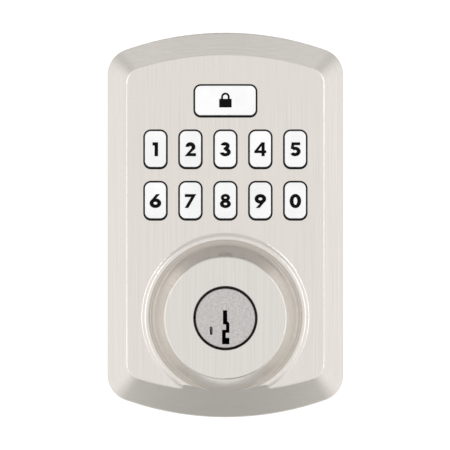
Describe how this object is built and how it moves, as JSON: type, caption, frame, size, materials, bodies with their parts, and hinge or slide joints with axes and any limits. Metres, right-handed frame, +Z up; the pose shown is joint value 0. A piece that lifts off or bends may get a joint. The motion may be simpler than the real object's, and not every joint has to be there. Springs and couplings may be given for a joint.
{
  "type": "keypad deadbolt lock, exterior unit",
  "caption": "Arched bevelled lock escutcheon with a digit keypad, a lock button, and a key cylinder in a conical guard.",
  "frame": {"origin": "on the axis of the key cylinder, in the plane of the door face that the gasket seals to", "axes": "+Z up the door, +Y into the door, +X to the right as seen from the street; the face looks along -Y"},
  "size_m": [0.074, 0.0887, 0.1208],
  "materials": {
    "satin_nickel": "satin, brushed upright",
    "turned_nickel": "satin, face brushed upright",
    "plug_metal": "fine-grained, as moulded from metal powder",
    "zinc_plated_steel": "zinc plated",
    "screw_steel": "zinc plated",
    "hardened_steel": "ground",
    "spring_steel": "drawn wire",
    "blade_steel": "zinc plated",
    "rack_steel": "stamped",
    "zinc_cast": "cast",
    "cylinder_brass": "machined",
    "pin_steel": "hardened, dark",
    "housing_zinc": "cast, dark plated",
    "contact_brass": "plated",
    "gasket_rubber": "closed-cell foam",
    "seal_rubber": "silicone",
    "black_plastic": "fine texture",
    "plunger_black": "moulded",
    "chip_black": "moulded",
    "buzzer_black": "moulded",
    "switch_housing": "moulded",
    "key_white": "smooth, slightly translucent",
    "clear_plastic": "clear acrylic",
    "socket_white": "nylon",
    "lamp_white": "moulded lens",
    "circuit_board": "solder mask over glass cloth"
  },
  "bodies": {
    "shell": {"escutcheon": "satin_nickel", "gasket": "gasket_rubber", "back_plate": "zinc_plated_steel", "back_plate_screws": "screw_steel", "keypad_frame": "black_plastic", "keypad_seal": "seal_rubber", "light_guide": "clear_plastic", "tact_switches": "switch_housing", "backlight_lamps": "lamp_white", "keypad_board": "circuit_board", "board_screws": "screw_steel", "controller_chip": "chip_black", "board_components": "chip_black", "buzzer": "buzzer_black", "cable_socket": "socket_white", "socket_pins": "contact_brass", "cylinder_guard": "turned_nickel", "cylinder_housing": "housing_zinc", "drill_pins": "hardened_steel", "guard_screws": "screw_steel"},
    "digit_1": {"key_1": "key_white", "switch_plunger_1": "plunger_black"},
    "digit_2": {"key_2": "key_white", "switch_plunger_2": "plunger_black"},
    "digit_3": {"key_3": "key_white", "switch_plunger_3": "plunger_black"},
    "digit_4": {"key_4": "key_white", "switch_plunger_4": "plunger_black"},
    "digit_5": {"key_5": "key_white", "switch_plunger_5": "plunger_black"},
    "digit_6": {"key_6": "key_white", "switch_plunger_6": "plunger_black"},
    "digit_7": {"key_7": "key_white", "switch_plunger_7": "plunger_black"},
    "digit_8": {"key_8": "key_white", "switch_plunger_8": "plunger_black"},
    "digit_9": {"key_9": "key_white", "switch_plunger_9": "plunger_black"},
    "digit_0": {"key_0": "key_white", "switch_plunger_0": "plunger_black"},
    "button": {"lock_button": "key_white", "switch_plunger_lock": "plunger_black"},
    "core": {"plug": "plug_metal", "spring_cover": "cylinder_brass", "tumbler_springs": "spring_steel", "sidebar": "cylinder_brass", "sidebar_springs": "spring_steel", "retaining_clip": "spring_steel", "drive_cam": "zinc_cast"},
    "blade": {"torque_blade": "blade_steel"},
    "tumbler_1": {"tumbler_pin_1": "pin_steel", "tumbler_rack_1": "rack_steel"},
    "tumbler_2": {"tumbler_pin_2": "pin_steel", "tumbler_rack_2": "rack_steel"},
    "tumbler_3": {"tumbler_pin_3": "pin_steel", "tumbler_rack_3": "rack_steel"},
    "tumbler_4": {"tumbler_pin_4": "pin_steel", "tumbler_rack_4": "rack_steel"},
    "tumbler_5": {"tumbler_pin_5": "pin_steel", "tumbler_rack_5": "rack_steel"}
  },
  "joints": [
    {"name": "key_1_press", "type": "slide", "parent": "shell", "child": "digit_1", "axis": [0, 1, 0], "range_m": [0, 0.0006], "stiffness_N_per_m": 600, "springref_m": -0.0008},
    {"name": "key_2_press", "type": "slide", "parent": "shell", "child": "digit_2", "axis": [0, 1, 0], "range_m": [0, 0.0006], "stiffness_N_per_m": 600, "springref_m": -0.0008},
    {"name": "key_3_press", "type": "slide", "parent": "shell", "child": "digit_3", "axis": [0, 1, 0], "range_m": [0, 0.0006], "stiffness_N_per_m": 600, "springref_m": -0.0008},
    {"name": "key_4_press", "type": "slide", "parent": "shell", "child": "digit_4", "axis": [0, 1, 0], "range_m": [0, 0.0006], "stiffness_N_per_m": 600, "springref_m": -0.0008},
    {"name": "key_5_press", "type": "slide", "parent": "shell", "child": "digit_5", "axis": [0, 1, 0], "range_m": [0, 0.0006], "stiffness_N_per_m": 600, "springref_m": -0.0008},
    {"name": "key_6_press", "type": "slide", "parent": "shell", "child": "digit_6", "axis": [0, 1, 0], "range_m": [0, 0.0006], "stiffness_N_per_m": 600, "springref_m": -0.0008},
    {"name": "key_7_press", "type": "slide", "parent": "shell", "child": "digit_7", "axis": [0, 1, 0], "range_m": [0, 0.0006], "stiffness_N_per_m": 600, "springref_m": -0.0008},
    {"name": "key_8_press", "type": "slide", "parent": "shell", "child": "digit_8", "axis": [0, 1, 0], "range_m": [0, 0.0006], "stiffness_N_per_m": 600, "springref_m": -0.0008},
    {"name": "key_9_press", "type": "slide", "parent": "shell", "child": "digit_9", "axis": [0, 1, 0], "range_m": [0, 0.0006], "stiffness_N_per_m": 600, "springref_m": -0.0008},
    {"name": "key_0_press", "type": "slide", "parent": "shell", "child": "digit_0", "axis": [0, 1, 0], "range_m": [0, 0.0006], "stiffness_N_per_m": 600, "springref_m": -0.0008},
    {"name": "lock_button_press", "type": "slide", "parent": "shell", "child": "button", "axis": [0, 1, 0], "range_m": [0, 0.0006], "stiffness_N_per_m": 700, "springref_m": -0.0008},
    {"name": "plug_turn", "type": "hinge", "parent": "shell", "child": "core", "pos_m": [0, 0, 0], "axis": [0, 1, 0], "range_deg": [-90, 90]},
    {"name": "blade_turn", "type": "hinge", "parent": "shell", "child": "blade", "pos_m": [0, 0.03, 0], "axis": [0, 1, 0], "range_deg": [-90, 90]},
    {"name": "tumbler_1_lift", "type": "slide", "parent": "core", "child": "tumbler_1", "axis": [0, 0, 1], "range_m": [0, 0.0018], "stiffness_N_per_m": 60, "springref_m": -0.001, "deforming": ["tumbler_springs"]},
    {"name": "tumbler_2_lift", "type": "slide", "parent": "core", "child": "tumbler_2", "axis": [0, 0, 1], "range_m": [0, 0.0018], "stiffness_N_per_m": 60, "springref_m": -0.001, "deforming": ["tumbler_springs"]},
    {"name": "tumbler_3_lift", "type": "slide", "parent": "core", "child": "tumbler_3", "axis": [0, 0, 1], "range_m": [0, 0.0018], "stiffness_N_per_m": 60, "springref_m": -0.001, "deforming": ["tumbler_springs"]},
    {"name": "tumbler_4_lift", "type": "slide", "parent": "core", "child": "tumbler_4", "axis": [0, 0, 1], "range_m": [0, 0.0018], "stiffness_N_per_m": 60, "springref_m": -0.001, "deforming": ["tumbler_springs"]},
    {"name": "tumbler_5_lift", "type": "slide", "parent": "core", "child": "tumbler_5", "axis": [0, 0, 1], "range_m": [0, 0.0018], "stiffness_N_per_m": 60, "springref_m": -0.001, "deforming": ["tumbler_springs"]}
  ],
  "couplings": [
    {"joint": "blade_turn", "follows": "plug_turn", "ratio": 1}
  ]
}
